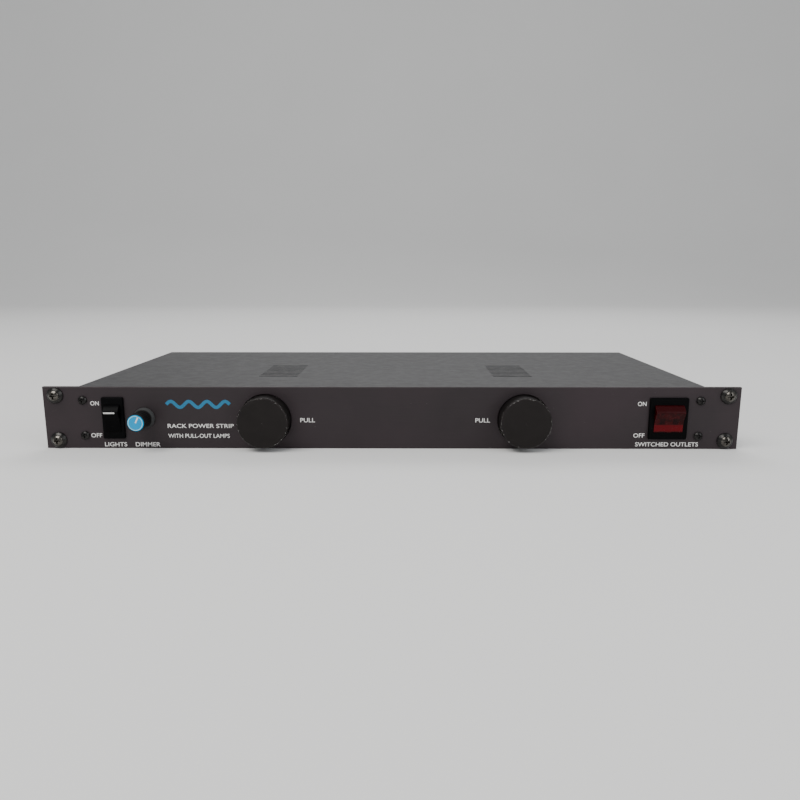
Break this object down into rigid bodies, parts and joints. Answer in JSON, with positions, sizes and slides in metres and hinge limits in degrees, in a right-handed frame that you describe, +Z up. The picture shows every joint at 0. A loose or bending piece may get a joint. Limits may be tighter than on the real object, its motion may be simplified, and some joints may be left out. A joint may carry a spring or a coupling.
{
  "type": "rack power strip",
  "caption": "One-unit 19-inch rack power strip: black panel, pull-out lamp tubes, dimmer, rocker switches, rear outlets, reset breaker and captive cord.",
  "frame": {"origin": "centre of the rack screw pattern on the rear face of the rack ears, where the rails bear", "axes": "+X to the right seen from the front, +Y back into the rack, +Z up"},
  "size_m": [0.4826, 0.3411, 0.0436],
  "materials": {
    "black_anodised": "satin brushed black anodised",
    "zinc_steel": "zinc plated",
    "nickel": "bright nickel plated",
    "black_steel": "black oxide",
    "black_paint": "black powder coat",
    "black_tube": "satin black",
    "black_plastic": "fine moulded texture",
    "gloss_black_plastic": "semi-gloss",
    "red_lens": "translucent dark red",
    "blue_plastic": "matte",
    "nylon_natural": "natural nylon",
    "phenolic": "moulded phenolic",
    "brass": "bright",
    "copper_alloy": "stamped",
    "frosted_glass": "frosted",
    "clear_glass": "clear",
    "white_plastic": "gloss",
    "rubber_cord": "matte jacket",
    "board": "solder-masked laminate",
    "ferrite": "epoxy coated",
    "capacitor": "boxed film",
    "varistor": "dipped epoxy",
    "black_wire": "insulated",
    "white_wire": "insulated",
    "green_wire": "insulated",
    "purple_wire": "insulated"
  },
  "bodies": {
    "frame": {"front_panel": "black_anodised", "panel_screws": "black_steel", "rack_screws": "nickel", "rack_washers": "black_steel", "chassis": "zinc_steel", "top_cover": "black_paint", "cover_screws": "black_steel", "ground_stud": "zinc_steel", "tube_cradles": "zinc_steel", "tube_guides": "nylon_natural", "cradle_rivets": "nickel", "lights_switch_housing": "black_plastic", "power_switch_housing": "black_plastic", "power_neon_lamp": "clear_glass", "switch_terminals": "brass", "dimmer_pot": "zinc_steel", "dimmer_nut": "nickel", "line_bus": "copper_alloy", "neutral_bus": "brass", "ground_bus": "copper_alloy", "breaker_body": "phenolic", "breaker_nut": "nickel", "power_cord": "rubber_cord", "plug_blades": "brass", "cord_strain_relief": "black_plastic", "circuit_board": "board", "board_standoffs": "nickel", "filter_choke": "ferrite", "filter_capacitors": "capacitor", "surge_varistors": "varistor", "line_wiring": "black_wire", "neutral_wiring": "white_wire", "ground_wiring": "green_wire", "lights_wiring": "purple_wire", "outlet_module_1": "black_plastic", "outlet_module_2": "black_plastic", "outlet_module_3": "black_plastic", "outlet_module_4": "black_plastic", "left_lamp_lead": "white_wire", "right_lamp_lead": "white_wire"},
    "lights_rocker_body": {"lights_rocker": "gloss_black_plastic"},
    "lights_contact_body": {"lights_contact": "copper_alloy"},
    "power_rocker_body": {"power_rocker": "red_lens"},
    "power_contact_body": {"power_contacts": "copper_alloy"},
    "dimmer_control": {"dimmer_shaft": "nickel", "dimmer_knob": "black_plastic", "dimmer_cap": "blue_plastic"},
    "reset_button": {"breaker_button": "white_plastic"},
    "left_carriage": {"left_stop_collar": "nylon_natural"},
    "left_lamp": {"left_light_tube": "black_tube", "left_tube_cap": "black_tube", "left_lamp_holder": "phenolic", "left_lamp_base": "brass", "left_lamp_glass": "frosted_glass"},
    "right_carriage": {"right_stop_collar": "nylon_natural"},
    "right_lamp": {"right_light_tube": "black_tube", "right_tube_cap": "black_tube", "right_lamp_holder": "phenolic", "right_lamp_base": "brass", "right_lamp_glass": "frosted_glass"}
  },
  "joints": [
    {"name": "lights_rocker_tilt", "type": "hinge", "parent": "frame", "child": "lights_rocker_body", "pos_m": [-0.193, 0.00082, 0], "axis": [-1, 0, 0], "range_deg": [0, 31.2]},
    {"name": "lights_contact_tilt", "type": "hinge", "parent": "frame", "child": "lights_contact_body", "pos_m": [-0.193, 0.015, 0], "axis": [1, 0, 0], "range_deg": [0, 16]},
    {"name": "power_rocker_tilt", "type": "hinge", "parent": "frame", "child": "power_rocker_body", "pos_m": [0.1919, 0.00082, 0], "axis": [-1, 0, 0], "range_deg": [0, 31.2]},
    {"name": "power_contact_tilt", "type": "hinge", "parent": "frame", "child": "power_contact_body", "pos_m": [0.1919, 0.015, 0], "axis": [1, 0, 0], "range_deg": [0, 16]},
    {"name": "dimmer_turn", "type": "hinge", "parent": "frame", "child": "dimmer_control", "pos_m": [-0.1715, 0, 0], "axis": [0, 1, 0], "range_deg": [-166, 114]},
    {"name": "reset_button_pop", "type": "slide", "parent": "frame", "child": "reset_button", "axis": [0, 1, 0], "range_m": [0, 0.004]},
    {"name": "left_lamp_pull", "type": "slide", "parent": "frame", "child": "left_carriage", "axis": [0, -1, 0], "range_m": [0, 0.1], "deforming": ["left_lamp_lead"]},
    {"name": "left_lamp_turn", "type": "hinge", "parent": "left_carriage", "child": "left_lamp", "pos_m": [-0.0872, 0, -0.0011], "axis": [0, 1, 0], "range_deg": [-90, 90]},
    {"name": "right_lamp_pull", "type": "slide", "parent": "frame", "child": "right_carriage", "axis": [0, -1, 0], "range_m": [0, 0.1], "deforming": ["right_lamp_lead"]},
    {"name": "right_lamp_turn", "type": "hinge", "parent": "right_carriage", "child": "right_lamp", "pos_m": [0.0919, 0, -0.0011], "axis": [0, 1, 0], "range_deg": [-90, 90]}
  ],
  "couplings": [
    {"joint": "lights_contact_tilt", "follows": "lights_rocker_tilt", "ratio": 0.5125},
    {"joint": "power_contact_tilt", "follows": "power_rocker_tilt", "ratio": 0.5125}
  ]
}
